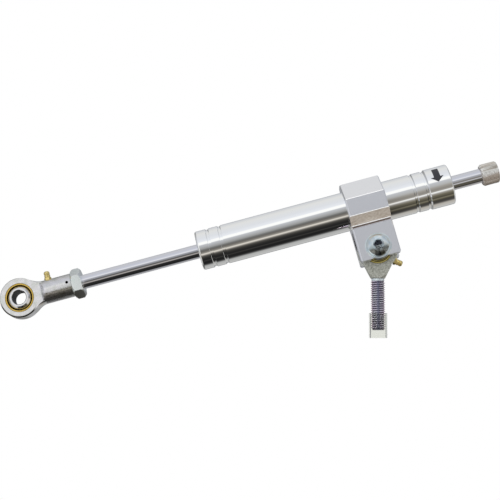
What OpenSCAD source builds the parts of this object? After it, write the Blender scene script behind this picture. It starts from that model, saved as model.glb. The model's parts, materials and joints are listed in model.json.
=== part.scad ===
// Steering damper of a motorcycle: a through-rod hydraulic damper with a
// spherical joint at the rod's end, a second one in a clevis clamped round
// the barrel, and an adjuster knob on the rod's tail.
// The barrel lies along +X, the clevis hangs down along -Z, and the origin is
// the centre of the ball in the rod's eye.

/* [Spherical joints] */
// Bore of each ball
joint_bore = 10; // [9.5:0.1:10.4]
// Width of each ball, face to face
ball_w = 14; // [13:0.5:15]
// Diameter of each ball
ball_d = 19; // [18.4:0.1:19.4]
// Outside diameter of the brass race round each ball
race_d = 20.4; // [20.2:0.1:22]
// Width of the staking groove in the race's face
stake_w = 0.25; // [0.15:0.05:0.3]
// Outside diameter of each eye
eye_d = 28; // [26:0.5:29]
// Thickness of each eye
eye_t = 10.5; // [9.5:0.25:11]

/* [Rod eye] */
// From the ball's centre to the end of the shank
eye_reach = 38; // [35:1:46]
// Diameter of the round shank
shank_d = 16.5; // [15:0.5:18]
// From the ball's centre to the end of the two flats
flat_l = 15.6; // [15:0.2:17]
// Radius where the eye runs into the neck
neck_fillet = 16; // [12:1:20]
// Depth of the tapped hole in the shank
tap_depth = 18; // [12:1:19]
// Diameter of the witness hole in the shank
witness_d = 2.1; // [1.5:0.1:2.5]
// From the shank's end to the witness hole
witness_in = 3; // [2.5:0.5:6]
// From the ball's centre to the grease nipple on the shank
nipple_x = 21.4; // [20:0.2:24]

/* [Jam nut] */
// Width of the nut across its flats
nut_af = 18.5; // [17:0.5:22]
// Thickness of the nut
nut_t = 7; // [5:0.5:9]
// Turn of the nut about the rod
nut_turn = 6; // [0:1:30]

/* [Rod] */
// Diameter of the rod
rod_d = 10; // [9:0.1:10.5]
// Bare rod between the jam nut and the barrel
rod_out = 84.1; // [82:1:110]
// Bare rod between the barrel and the knob
rod_tail = 22; // [20:0.5:40]
// Diameter of the passage inside the rod
gallery_d = 4; // [3.6:0.1:4.4]
// Diameter of the valve seat at the end of the passage
seat_d = 1.6; // [1.2:0.1:1.8]
// Diameter of the oil ports drilled across the rod
port_d = 1.5; // [1:0.1:1.6]

/* [Barrel] */
// Outside diameter of the tube and the front cap
barrel_d = 27.5; // [26:0.5:30]
// Bore of the tube
tube_bore = 22; // [21:0.2:23]
// Length of the tube
tube_l = 153.6; // [153:0.2:180]
// Length of the front cap that shows
front_cap_l = 7.8; // [7:0.1:14]
// Length of the rear cap that shows
rear_cap_l = 16.8; // [15:0.1:24]
// Diameter of the rear cap
rear_cap_d = 28.3; // [28:0.1:32]
// Width of each turned groove
groove_w = 2.4; // [2:0.1:3]
// Depth of each turned groove
groove_h = 0.7; // [0.4:0.05:0.9]
// Length of the band between the two grooves at each end
band_l = 6.2; // [5:0.1:10]
// Length of the front cap inside the tube
front_spigot_l = 12.5; // [12.5:0.5:16]
// Length of the rear cap inside the tube
rear_spigot_l = 30.5; // [26:0.5:31]
// Radius of the caps' outer edges
cap_edge_r = 1.3; // [0.5:0.1:2]

/* [Rod guides] */
// Wall of each bush
bush_wall = 1.5; // [1:0.1:1.8]
// Length of each bush
bush_l = 9; // [6:0.5:9.5]
// Section height of each rod seal and wiper
seal_h = 3; // [2.2:0.1:3.2]
// Width of each rod seal
seal_w = 3.6; // [3:0.1:3.8]
// Width of each wiper
wiper_w = 3.2; // [2.5:0.1:3.4]
// Section of the o-rings between the caps and the tube
oring_d = 1.8; // [1.4:0.1:2]

/* [Piston] */
// Length of the piston
piston_l = 12; // [9:0.5:12]
// Width of the piston ring
ring_w = 4; // [3:0.5:5]
// Radial thickness of the piston ring
ring_h = 1.2; // [0.8:0.1:1.6]
// Thickness of the clips that hold the piston
clip_t = 1.2; // [0.8:0.1:1.4]
// Travel of the rod out of the front, from rest
stroke_out = 18; // [10:1:19]

/* [Clamp] */
// Width of the clamp along the barrel
clamp_w = 28.2; // [26:0.2:32]
// From the barrel's front end to the middle of the clamp
clamp_pos = 120.3; // [60:1:125]
// From the barrel's axis to the clamp's top
clamp_top = 18.5; // [18:0.1:22]
// From the barrel's axis to the clamp's front and back faces
clamp_half = 19; // [18.5:0.1:22]
// Half the width of the narrow flat on top
clamp_ridge = 4.8; // [4:0.1:5.5]
// From the barrel's axis down to the lower edge of the front face
clamp_waist = 8; // [7:0.1:9]
// Thickness of each clevis ear
ear_t = 5.9; // [5:0.1:6.2]
// From the bolt's axis to the bottom of the ears
ear_drop = 7.7; // [7.5:0.1:12]
// From the barrel's axis to the bolt's axis
bolt_drop = 31.5; // [31.2:0.1:36]
// Radius of the ears' lower corners
ear_corner = 1.3; // [1:0.1:3]
// Width of the slit that lets the clamp close on the barrel
slit_w = 1.6; // [1:0.1:3]
// Size of the bevels on the clamp's ends
bevel = 0.8; // [0.3:0.1:1.2]

/* [Clevis bolt] */
// Diameter of the bolt's shank
bolt_d = 9.9; // [9.6:0.05:9.9]
// Diameter of the bolt's head
head_d = 15.2; // [14:0.1:17]
// Height of the bolt's head
head_h = 4.6; // [4:0.1:6]
// Width of the hexagon socket across its flats
socket_af = 6; // [5:0.5:6]
// Depth of the hexagon socket
socket_depth = 2.8; // [2:0.1:3.2]
// Diameter of the washer
washer_d = 18.4; // [17.4:0.1:20]
// Thickness of the washer
washer_t = 1.4; // [1:0.1:2]

/* [Stud] */
// Diameter of the stud's thread
stud_d = 10; // [9:0.5:10]
// Pitch of the thread
pitch = 1.5; // [1.25:0.05:1.75]
// From the ball's centre to the start of the thread
neck_l = 20.3; // [19.5:0.1:24]
// Length of the thread
thread_l = 35.6; // [28:0.2:45]
// Swing of the stud from straight down, towards the rod's eye
stud_swing = 15; // [0:1:30]
// Lean of the stud away from the front, as far as the clevis lets it
stud_lean = 6.5; // [0:0.5:7]

/* [Grease nipples] */
// Height of each nipple above its seat
nipple_h = 6.4; // [5.5:0.1:8]
// Width of a nipple's hexagon across its flats
nipple_af = 4.5; // [4.4:0.1:5.2]
// Diameter of a nipple's ribbed head
nipple_head_d = 4.1; // [3.4:0.1:4.4]
// Turn of the stud's nipple from the stud's direction
nipple_turn = 54; // [45:1:70]
// How far the stud's grease nipple leans back up from square to the rim
nipple_lean = 14; // [0:1:16]

/* [Thread cover] */
// Wall of the plastic cover
cover_wall = 1.15; // [0.8:0.05:2]
// Length of the cover
cover_l = 17.1; // [14:0.1:24]
// Length of thread inside the cover
cover_on = 11.6; // [8:0.1:12]

/* [Adjuster] */
// Diameter of the knob
knob_d = 15.3; // [15:0.1:20]
// Length of the knob
knob_l = 12; // [11:0.1:18]
// Number of ridges in the knob's knurl
knurls = 56; // [24:1:64]
// Depth of the knurl
knurl_h = 0.3; // [0.2:0.05:0.5]
// Length of rod inside the knob
knob_socket = 5.8; // [4:0.1:6]
// Diameter of the adjuster's shaft
shaft_d = 3.4; // [3:0.1:3.5]
// Length of the needle
needle_l = 14; // [10:0.5:16]
// Gap between the needle and its seat with the valve open
needle_open = 1.3; // [1.1:0.1:1.6]
// Diameter of the screw that holds the knob on its shaft
knob_screw_d = 2; // [1.6:0.1:2.2]

/* [Hidden] */
$fn = 72;

// Clearances
running = 0.03;    // between parts that turn or slide on each other, per side
seated = 0.02;     // between parts that are fixed together, per side
ball_gap = 0.04;   // between a ball and its race
face_gap = 0.1;    // between a ball's face and the ear beside it
stop_gap = 0.5;    // left between the piston and a cap at the end of its travel
cover_gap = 0.2;   // between the cover and the thread's crests
overcut = 1;       // how far a cut runs past the surface it opens

// Small fixed details
edge = 0.5;              // bevel on turned edges
race_recess = 1.15;      // depth of the bevel inside a race's faces
race_rim = 1.1;          // width of the flat ring on a race's faces
ball_steps = 20;         // bands in the round section of a ball or race
stake_depth = 0.25;
ball_chamfer = 0.4;
thread_depth = 0.42;     // depth of the grooves that stand for the thread
thread_mouth = 0.48;     // their width at the crest
thread_relief = 1;       // width of the wider groove at the cover's lip
thread_lead = 1;         // bevel at the stud's tip
ledge = 0.3;             // small step at the foot of the clamp's lower bevel
lip_h = 0.6;             // its height
relief_w = 1.7;          // width of the groove cut above each ear's face
relief_h = 0.9;          // its depth
head_edge = 2;           // height of the bolt head's straight rim
drill_slope = 31;        // slope of the cone that a drill leaves at the foot of a hole
drill_point = 0.2;       // radius of its blunt tip
nipple_seat = 2;         // length of a nipple's shank inside its part
nipple_seat_d = 3;
nipple_spot = 0.4;       // depth of the flat spot cut under a nipple
nipple_rib = 0.25;       // depth of the grooves between a nipple's ribs
port_gap = 1.6;          // from a piston clip to the middle of the oil port beside it
web_t = 1.6;             // wall between the seal, wiper and bush pockets
clip_h = 1.2;            // how far a piston clip stands above the rod
clip_in = 0.6;           // how deep a piston clip sits in the rod
shaft_pin_d = 1.6;       // the shaft's thin end, which turns inside the needle
shaft_pin_l = 8;
shaft_oring_d = 1;
knob_bevel = 1;
knob_screw_head_d = 3.8;
knob_screw_head_h = 1.2;
knob_screw_grip = 4;     // length of the knob's screw inside the shaft
witness_up = 9;          // turn of the witness hole above the front of the shank

// Places along the rod and the barrel
nut_x = eye_reach;
barrel_x = nut_x + nut_t + rod_out;
tube_x = barrel_x + front_cap_l + groove_w - groove_h;
tube_end = tube_x + tube_l;
rear_x = tube_end + groove_w - groove_h;
barrel_end = rear_x + rear_cap_l;
knob_x = barrel_end + rod_tail;
rod_start = eye_reach - tap_depth + edge;
rod_end = knob_x + knob_socket;
chamber_x = tube_x + front_spigot_l;
chamber_end = tube_end - rear_spigot_l;
piston_x = chamber_x + stroke_out + clip_t + stop_gap;
piston_end = piston_x + piston_l;
clamp_x = barrel_x + clamp_pos;

front_oring_x = tube_x + front_spigot_l / 3;
rear_oring_x = tube_end - rear_spigot_l / 3;

// Radii
rod_r = rod_d / 2;
barrel_r = barrel_d / 2;
bore_r = tube_bore / 2;
bush_r = rod_r + bush_wall;
seal_r = rod_r + seal_h;
race_r = race_d / 2;
eye_r = eye_d / 2;
gallery_r = gallery_d / 2;
piston_r = bore_r - 4 * running;

// Clamp and clevis
slot_half = ball_w / 2 + face_gap;
ear_face = slot_half + ear_t;
slot_roof = bolt_drop - eye_r - eye_t / 2 * sin(stud_lean) - edge;
ear_bottom = bolt_drop + ear_drop;
ear_top = clamp_waist + clamp_half - ear_face - ledge + lip_h + relief_w;
ear_reach = norm([clamp_w / 2 - ear_corner, ear_drop - ear_corner]) + ear_corner;
lean_limit = asin((slot_half - face_gap / 2 - eye_t / 2) / ear_reach);
lean = min(stud_lean, lean_limit);
stud_tip = neck_l + thread_l;
cover_x = stud_tip - cover_on;

// The adjuster's valve
seat_x = piston_x + edge;
needle_x = seat_x + needle_open;
needle_end = needle_x + needle_l;
shaft_x = needle_end + needle_open;
shaft_end = rod_end + edge + (knob_l - knob_socket) / 2;
shaft_oring_x = barrel_end - rear_cap_l / 2;
shaft_groove_r = gallery_r - running - shaft_oring_d * 0.85;

// Turns a part about the barrel's axis from [radius, x] points
module turned(points) {
    rotate([90, 0, 90]) rotate_extrude() polygon(points);
}

// A plain ring on the barrel's axis
module ring(x, length, outer, inner) {
    turned([[inner, x], [outer, x], [outer, x + length], [inner, x + length]]);
}

// A round hole or pin along Y, about the joint at the origin
module across(length, radius) {
    rotate([90, 0, 0]) cylinder(h = length, r = radius, center = true);
}

// Quarter of a circle from one angle to another, as points
function arc(centre, radius, from, to, steps = 5) =
    [for (i = [0 : steps])
        let (a = from + (to - from) * i / steps)
            [centre[0] + radius * cos(a), centre[1] + radius * sin(a)]];

// Puts the stud's joint where the clevis bolt holds it, hanging straight down
module at_clevis() {
    translate([clamp_x, 0, -bolt_drop]) children();
}

// Swings and leans what hangs on the stud's ball
module at_stud() {
    at_clevis() rotate([0, stud_swing, 0]) rotate([lean, 0, 0]) children();
}

// Ball of a spherical joint, with its bore along Y
module ball() {
    half = ball_w / 2;
    edge_angle = asin(ball_w / ball_d);
    rotate([90, 0, 0]) rotate_extrude() polygon(concat(
        [
            [joint_bore / 2, ball_chamfer - half], [joint_bore / 2 + ball_chamfer, -half]
        ],
        arc([0, 0], ball_d / 2, -edge_angle, edge_angle, ball_steps),
        [
            [joint_bore / 2 + ball_chamfer, half], [joint_bore / 2, half - ball_chamfer]
        ]
    ));
}

// Brass race round a ball, staked into its eye
module race() {
    half = eye_t / 2;
    rim_r = race_r - race_rim;
    inner_r = ball_d / 2 + ball_gap;
    edge_angle = asin((half - race_recess) / inner_r);
    stake_r = race_r - race_rim / 2;
    face = [
        [rim_r, half], [stake_r - stake_w / 2, half], [stake_r - stake_w / 2, half - stake_depth],
        [stake_r + stake_w / 2, half - stake_depth], [stake_r + stake_w / 2, half], [race_r, half]
    ];
    rotate([90, 0, 0]) rotate_extrude() polygon(concat(
        arc([0, 0], inner_r, -edge_angle, edge_angle, ball_steps),
        face,
        [for (i = [len(face) - 1 : -1 : 0]) [face[i][0], -face[i][1]]]
    ));
}

// Flat plate of an eye, with its faces across Y and its edges bevelled
module eye_plate() {
    rotate([90, 0, 0]) rotate_extrude() polygon([
        [0, -eye_t / 2], [eye_r - edge, -eye_t / 2], [eye_r, edge - eye_t / 2],
        [eye_r, eye_t / 2 - edge], [eye_r - edge, eye_t / 2], [0, eye_t / 2]
    ]);
}

// Grease nipple standing on its seat along +Z, with the part of it that is screwed in
module nipple() {
    head_r = nipple_head_d / 2;
    hex_h = nipple_h * 0.27;
    neck_r = head_r - nipple_rib;
    rib_at = hex_h + nipple_h * 0.28;
    dome_at = nipple_h - head_r * 0.65;
    difference() {
        union() {
            translate([0, 0, -nipple_seat]) cylinder(h = nipple_seat, d = nipple_seat_d);
            intersection() {
                cylinder(h = hex_h, r = nipple_af / 2 / cos(30), $fn = 6);
                cylinder(h = hex_h, r1 = nipple_af / 2 + hex_h, r2 = nipple_af / 2);
            }
            rotate_extrude() polygon(concat(
                [
                    [0, 0], [neck_r, 0], [neck_r, hex_h], [head_r, hex_h + nipple_rib],
                    [head_r, rib_at], [neck_r, rib_at + nipple_rib],
                    [neck_r, rib_at + 2 * nipple_rib], [head_r, rib_at + 3 * nipple_rib]
                ],
                arc([head_r * 0.35, dome_at], head_r * 0.65, 0, 90),
                [[0, nipple_h]]
            ));
        }
        translate([0, 0, nipple_h - head_r / 2]) cylinder(h = head_r, r = head_r / 6);
    }
}

// Tapped hole for a nipple below the flat spot that the nipple stands on
module nipple_hole() {
    translate([0, 0, -nipple_seat - edge])
        cylinder(h = nipple_seat + 2 * edge, d = nipple_seat_d + 2 * seated);
    cylinder(h = nipple_spot + overcut, r = nipple_af / 2 / cos(30) + nipple_spot);
}

// The barrel's tube, with a groove turned near each end
module barrel_tube() {
    front_groove = tube_x + groove_h + band_l;
    rear_groove = tube_end - groove_h - band_l - groove_w;
    color([0.8, 0.81, 0.82]) turned(concat(
        [[bore_r, tube_x], [barrel_r - groove_h, tube_x], [barrel_r, tube_x + groove_h]],
        groove(front_groove), groove(rear_groove),
        [[barrel_r, tube_end - groove_h], [barrel_r - groove_h, tube_end], [bore_r, tube_end]]
    ));
}

// A groove with sloping sides, from x along the barrel, as [radius, x] points
function groove(x) = [
    [barrel_r, x], [barrel_r - groove_h, x + groove_h],
    [barrel_r - groove_h, x + groove_w - groove_h], [barrel_r, x + groove_w]
];

// Pockets for the wiper, the seal and the bush, from a cap's outer end inwards
module guide_pockets(outer_x, inner_x, way) {
    wiper_in = outer_x + way * (wiper_w + seated);
    seal_x = wiper_in + way * web_t;
    seal_in = seal_x + way * (seal_w + seated);
    bush_in = inner_x - way * (bush_l + seated);
    module pocket(from, to, radius) {
        ring(min(from, to), abs(to - from), radius, 0);
    }
    pocket(outer_x - way * overcut, inner_x + way * overcut, rod_r + edge);
    pocket(outer_x - way * overcut, wiper_in, seal_r + seated);
    pocket(seal_x, seal_in, seal_r + seated);
    pocket(bush_in, inner_x + way * overcut, bush_r + seated);
}

// A groove for an o-ring round a cap's spigot, a little wider than the ring
module oring_groove(x) {
    ring(x - oring_d * 0.6, oring_d * 1.2, bore_r + overcut, bore_r - seated - oring_d * 0.9);
}

// An o-ring in such a groove, pressed flat against the tube
module cap_oring(x) {
    color([0.08, 0.08, 0.09]) turned([
        [bore_r - oring_d * 0.9, x - oring_d * 0.4],
        [bore_r - seated - oring_d * 0.7, x - oring_d * 0.5],
        [bore_r - seated * 2, x - oring_d * 0.3],
        [bore_r - seated * 2, x + oring_d * 0.3],
        [bore_r - seated - oring_d * 0.7, x + oring_d * 0.5],
        [bore_r - oring_d * 0.9, x + oring_d * 0.4]
    ]);
}

// Front cap: a flange as wide as the tube, a groove behind it and a spigot in the tube
module front_cap() {
    color([0.8, 0.81, 0.82]) difference() {
        turned(concat(
            [[0, barrel_x]],
            arc([barrel_r - cap_edge_r, barrel_x + cap_edge_r], cap_edge_r, -90, 0),
            [
                [barrel_r, barrel_x + front_cap_l],
                [barrel_r - groove_h, barrel_x + front_cap_l + groove_h],
                [barrel_r - groove_h, tube_x], [bore_r - seated, tube_x],
                [bore_r - seated, chamber_x], [0, chamber_x]
            ]
        ));
        guide_pockets(barrel_x, chamber_x, 1);
        oring_groove(front_oring_x);
    }
}

// Rear cap: the same, longer and a little wider than the tube
module rear_cap() {
    rear_r = rear_cap_d / 2;
    color([0.78, 0.79, 0.8]) difference() {
        turned(concat(
            [
                [0, chamber_end], [bore_r - seated, chamber_end], [bore_r - seated, tube_end],
                [barrel_r - groove_h, tube_end], [barrel_r - groove_h, rear_x - groove_h],
                [rear_r, rear_x + rear_r - barrel_r]
            ],
            arc([rear_r - cap_edge_r, barrel_end - cap_edge_r], cap_edge_r, 0, 90),
            [[0, barrel_end]]
        ));
        guide_pockets(barrel_end, chamber_end, -1);
        oring_groove(rear_oring_x);
    }
}

// Bronze bush that guides the rod, from x along the barrel
module bush(x) {
    color([0.65, 0.5, 0.3]) ring(x, bush_l, bush_r, rod_r + running);
}

// Rubber lip seal whose lip points along way
module lip_seal(x, way) {
    middle = x + seal_w / 2;
    color([0.1, 0.1, 0.12]) turned([
        [rod_r + running, middle - seal_w / 2], [seal_r, middle - seal_w / 2],
        [seal_r, middle + way * seal_w / 2 + (1 - way) * seal_w / 2],
        [rod_r + seal_h * 0.6, middle + seal_w / 2],
        [rod_r + seal_h * 0.5, middle + seal_w * 0.1],
        [rod_r + running, middle + seal_w * 0.4]
    ]);
}

// Wiper whose thin lip reaches the cap's outer face
module wiper(outer_x, way) {
    color([0.12, 0.12, 0.14]) turned([
        [rod_r + running, outer_x + way * wiper_w * 0.1],
        [rod_r + seal_h * 0.35, outer_x + way * wiper_w * 0.3],
        [seal_r, outer_x + way * wiper_w * 0.3],
        [seal_r, outer_x + way * wiper_w],
        [rod_r + running, outer_x + way * wiper_w]
    ]);
}

module front_bush() { bush(chamber_x - bush_l); }
module front_seal() { lip_seal(barrel_x + wiper_w + web_t + 1.5 * seated, 1); }
module front_wiper() { wiper(barrel_x, 1); }
module front_oring() { cap_oring(front_oring_x); }
module rear_bush() { bush(chamber_end); }
module rear_seal() { lip_seal(barrel_end - wiper_w - web_t - seal_w - 1.5 * seated, 1); }
module rear_wiper() { wiper(barrel_end, -1); }
module rear_oring() { cap_oring(rear_oring_x); }

// Section of the clamp, y across and z up, before the bore, slot and slit are cut
module clamp_section() {
    slope = ear_face - clamp_half + ledge;
    foot = slope - clamp_waist;
    half = [
        [clamp_ridge, clamp_top],
        [clamp_half, clamp_top - clamp_half + clamp_ridge],
        [clamp_half, -clamp_waist],
        [ear_face + ledge, foot],
        [ear_face + ledge, foot - lip_h],
        [ear_face - relief_h, foot - lip_h - ledge],
        [ear_face - relief_h, ledge - ear_top],
        [ear_face, -ear_top],
        [ear_face, -ear_bottom]
    ];
    polygon(concat(half, [for (i = [len(half) - 1 : -1 : 0]) [-half[i][0], half[i][1]]]));
}

// Cuts a bevel along an edge of the clamp's ends, at the point [y, z], for a face turned by angle
module end_bevel(y, z, length, angle) {
    for (end = [-1, 1])
        translate([end * clamp_w / 2, y, z]) rotate([angle, 0, 0]) rotate([0, 0, 45])
            cube([bevel * sqrt(2), bevel * sqrt(2), length], center = true);
}

// Block clamped round the barrel, with the clevis below it
module clamp_block() {
    facet = (clamp_half - clamp_ridge) * sqrt(2);
    face_mid = (clamp_top - clamp_half + clamp_ridge - clamp_waist) / 2;
    color([0.74, 0.74, 0.76]) translate([clamp_x, 0, 0]) difference() {
        intersection() {
            rotate([90, 0, 90]) linear_extrude(clamp_w, center = true) clamp_section();
            rotate([90, 0, 0]) linear_extrude(3 * clamp_half, center = true) polygon(concat(
                [
                    [bevel - clamp_w / 2, clamp_top], [-clamp_w / 2, clamp_top - bevel]
                ],
                arc([ear_corner - clamp_w / 2, ear_corner - ear_bottom], ear_corner, 180, 270),
                arc([clamp_w / 2 - ear_corner, ear_corner - ear_bottom], ear_corner, -90, 0),
                [[clamp_w / 2, clamp_top - bevel], [clamp_w / 2 - bevel, clamp_top]]
            ));
        }
        for (side = [-1, 1]) {
            end_bevel(side * clamp_half, face_mid, 2 * clamp_half, 0);
            end_bevel(side * (clamp_half + clamp_ridge) / 2, clamp_top - (clamp_half - clamp_ridge) / 2,
                facet, side * 45);
            end_bevel(side * ear_face, -(ear_top + ear_bottom) / 2, ear_bottom - ear_top, 0);
        }
        turned([
            [0, -clamp_w], [barrel_r + seated, -clamp_w], [barrel_r + seated, clamp_w], [0, clamp_w]
        ]);
        translate([0, 0, -slot_roof - clamp_half])
            cube([2 * clamp_w, 2 * slot_half, 2 * clamp_half], center = true);
        translate([0, 0, -bolt_drop / 2]) cube([2 * clamp_w, slit_w, bolt_drop], center = true);
        translate([0, 0, -bolt_drop]) across(3 * clamp_half, bolt_d / 2 + seated);
    }
}

// Button-head bolt through the ears and the ball, with its head at the front
module clevis_bolt() {
    head_y = ear_face + washer_t + seated;
    socket_r = socket_af / 2 / cos(30);
    crown_r = max(head_d * 0.25, socket_r + edge / 2);
    drill_r = socket_af * 0.47;
    drill_h = (drill_r - drill_point) * tan(drill_slope);
    dome_h = head_h - head_edge;
    dome_mid = head_edge + dome_h / 2 + (pow(crown_r, 2) - pow(head_d / 2, 2)) / (2 * dome_h);
    dome_r = norm([crown_r, head_h - dome_mid]);
    dome_from = atan2(head_edge - dome_mid, head_d / 2);
    dome_to = atan2(head_h - dome_mid, crown_r);
    color([0.72, 0.75, 0.78]) at_clevis() rotate([90, 0, 0]) difference() {
        union() {
            translate([0, 0, -ear_face]) cylinder(h = ear_face + head_y, d = bolt_d);
            translate([0, 0, head_y]) rotate_extrude() polygon(concat(
                [[0, 0], [head_d / 2, 0]],
                arc([0, dome_mid], dome_r, dome_from, dome_to, 8),
                [[0, head_h]]
            ));
        }
        translate([0, 0, head_y + head_h - socket_depth])
            rotate([0, 0, 30 + stud_swing]) cylinder(h = head_h, r = socket_r, $fn = 6);
        translate([0, 0, head_y + head_h - socket_depth - drill_h])
            cylinder(h = drill_h, r1 = drill_point, r2 = drill_r);
        translate([0, 0, head_y + head_h - edge])
            cylinder(h = 2 * edge, r1 = socket_r - edge / 4, r2 = socket_r + edge * 0.8);
    }
}

module bolt_washer() {
    color([0.7, 0.74, 0.78]) at_clevis() rotate([90, 0, 0])
        translate([0, 0, ear_face + seated / 2]) rotate_extrude() polygon([
            [bolt_d / 2 + seated, 0], [washer_d / 2, 0], [washer_d / 2, washer_t * 0.7],
            [washer_d / 2 - washer_t * 0.3, washer_t], [bolt_d / 2 + seated, washer_t]
        ]);
}

module stud_ball() {
    color([0.75, 0.76, 0.78]) at_clevis() rotate([0, stud_swing, 0]) ball();
}

module stud_race() {
    color([0.72, 0.6, 0.25]) at_stud() race();
}

// Eye with a tapering neck and a threaded stud that points along -Z
module stud_rod_end() {
    stud_r = stud_d / 2;
    neck_half = eye_r * 0.67;
    foot_half = stud_r * 0.98;
    grooves = floor((thread_l - thread_lead - pitch) / pitch);
    lip = cover_x - neck_l;
    groove_at = [for (i = [1 : grooves]) i * pitch];
    near_lip = [for (g = groove_at) if (abs(g - lip) <= pitch / 2) g];
    function mouth(g) = (len(near_lip) > 0 && g == near_lip[0]) ? thread_relief : thread_mouth;
    color([0.5, 0.5, 0.5]) at_stud() difference() {
        union() {
            eye_plate();
            intersection() {
                rotate([90, 0, 0]) linear_extrude(eye_t, center = true) polygon([
                    [-neck_half, 0], [-neck_half, -neck_l * 0.56], [-foot_half * 1.1, -neck_l * 0.95],
                    [-foot_half, -neck_l], [foot_half, -neck_l],
                    [foot_half * 1.1, -neck_l * 0.95], [neck_half, -neck_l * 0.56], [neck_half, 0]
                ]);
                rotate_extrude() polygon([
                    [0, 0], [eye_r, 0], [eye_r, -neck_l * 0.55], [neck_half, -neck_l * 0.8],
                    [foot_half + seated, -neck_l], [0, -neck_l]
                ]);
            }
            rotate_extrude() polygon(concat(
                [[0, -neck_l * 0.8], [stud_r * 0.9, -neck_l * 0.8], [stud_r * 0.9, -neck_l], [stud_r, -neck_l]],
                [for (g = groove_at) for (step = [-1, 0, 1])
                    [stud_r - (step == 0 ? thread_depth : 0), -neck_l - g - step * mouth(g) / 2]],
                [[stud_r, thread_lead - stud_tip], [stud_r - thread_lead, -stud_tip], [0, -stud_tip]]
            ));
        }
        across(2 * eye_t, race_r + seated);
        at_nipple() nipple_hole();
    }
}

// Where the stud's grease nipple stands, on a flat spot in the eye's rim
module at_nipple() {
    rotate([0, 180 - nipple_turn, 0]) translate([0, 0, eye_r - nipple_spot])
        rotate([0, -nipple_lean, 0]) children();
}

module stud_nipple() {
    color([0.7, 0.56, 0.22]) at_stud() at_nipple() nipple();
}

// Clear plastic sleeve over the stud's tip
module thread_cover() {
    inner = stud_d / 2 + cover_gap;
    color([0.85, 0.86, 0.84, 0.5]) at_stud() translate([0, 0, -cover_x]) rotate_extrude() polygon([
        [inner, 0], [inner + cover_wall, 0], [inner + cover_wall, -cover_l], [inner, -cover_l]
    ]);
}

module piston() {
    middle = (piston_x + piston_end) / 2;
    color([0.6, 0.61, 0.63]) turned([
        [rod_r + seated, piston_x], [piston_r - edge, piston_x], [piston_r, piston_x + edge],
        [piston_r, middle - ring_w / 2 - seated], [bore_r - ring_h - seated, middle - ring_w / 2 - seated],
        [bore_r - ring_h - seated, middle + ring_w / 2 + seated], [piston_r, middle + ring_w / 2 + seated],
        [piston_r, piston_end - edge], [piston_r - edge, piston_end], [rod_r + seated, piston_end]
    ]);
}

module piston_ring() {
    color([0.2, 0.3, 0.3])
        ring((piston_x + piston_end - ring_w) / 2, ring_w, bore_r - running, bore_r - ring_h);
}

// The two clips that hold the piston on the rod, one on each side
module piston_clips() {
    color([0.35, 0.35, 0.37]) for (x = [piston_x - clip_t - seated, piston_end + seated])
        ring(x, clip_t, rod_r + clip_h, rod_r - clip_in + seated);
}

// Through rod, drilled from its tail to the piston for the adjuster
module piston_rod() {
    front_clip = piston_x - clip_t - 1.5 * seated;
    rear_clip = piston_end + seated / 2;
    clip_slot = clip_t + seated;
    color([0.78, 0.78, 0.82]) difference() {
        turned([
            [0, rod_start], [rod_r - edge, rod_start], [rod_r, rod_start + edge],
            [rod_r, front_clip], [rod_r - clip_in, front_clip],
            [rod_r - clip_in, front_clip + clip_slot], [rod_r, front_clip + clip_slot],
            [rod_r, rear_clip], [rod_r - clip_in, rear_clip],
            [rod_r - clip_in, rear_clip + clip_slot], [rod_r, rear_clip + clip_slot],
            [rod_r, rod_end - edge], [rod_r - edge, rod_end], [0, rod_end]
        ]);
        ring(seat_x, rod_end - seat_x + overcut, gallery_r, 0);
        ring(front_clip - port_gap, seat_x - front_clip + port_gap + overcut, seat_d / 2, 0);
        translate([front_clip - port_gap, 0, 0]) cylinder(h = 2 * rod_d, d = port_d, center = true);
        translate([rear_clip + clip_slot + port_gap, 0, 0])
            cylinder(h = 2 * rod_d, d = port_d, center = true);
    }
}

module rod_jam_nut() {
    corner_r = nut_af / 2 / cos(30);
    cone_r = corner_r + edge;
    cone_h = cone_r - nut_af / 2;
    color([0.72, 0.73, 0.72]) difference() {
        intersection() {
            translate([nut_x, 0, 0]) rotate([0, 90, 0]) rotate([0, 0, nut_turn])
                cylinder(h = nut_t, r = corner_r, $fn = 6);
            turned([
                [0, nut_x], [nut_af / 2, nut_x], [cone_r, nut_x + cone_h],
                [cone_r, nut_x + nut_t - cone_h], [nut_af / 2, nut_x + nut_t], [0, nut_x + nut_t]
            ]);
        }
        ring(nut_x - overcut, nut_t + 2 * overcut, rod_r + seated, 0);
        turned([
            [0, nut_x - edge], [rod_r + 2 * edge, nut_x - edge],
            [rod_r - edge / 2, nut_x + edge], [0, nut_x + edge]
        ]);
        turned([
            [0, nut_x + nut_t - edge], [rod_r - edge / 2, nut_x + nut_t - edge],
            [rod_r + 2 * edge, nut_x + nut_t + edge], [0, nut_x + nut_t + edge]
        ]);
    }
}

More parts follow.
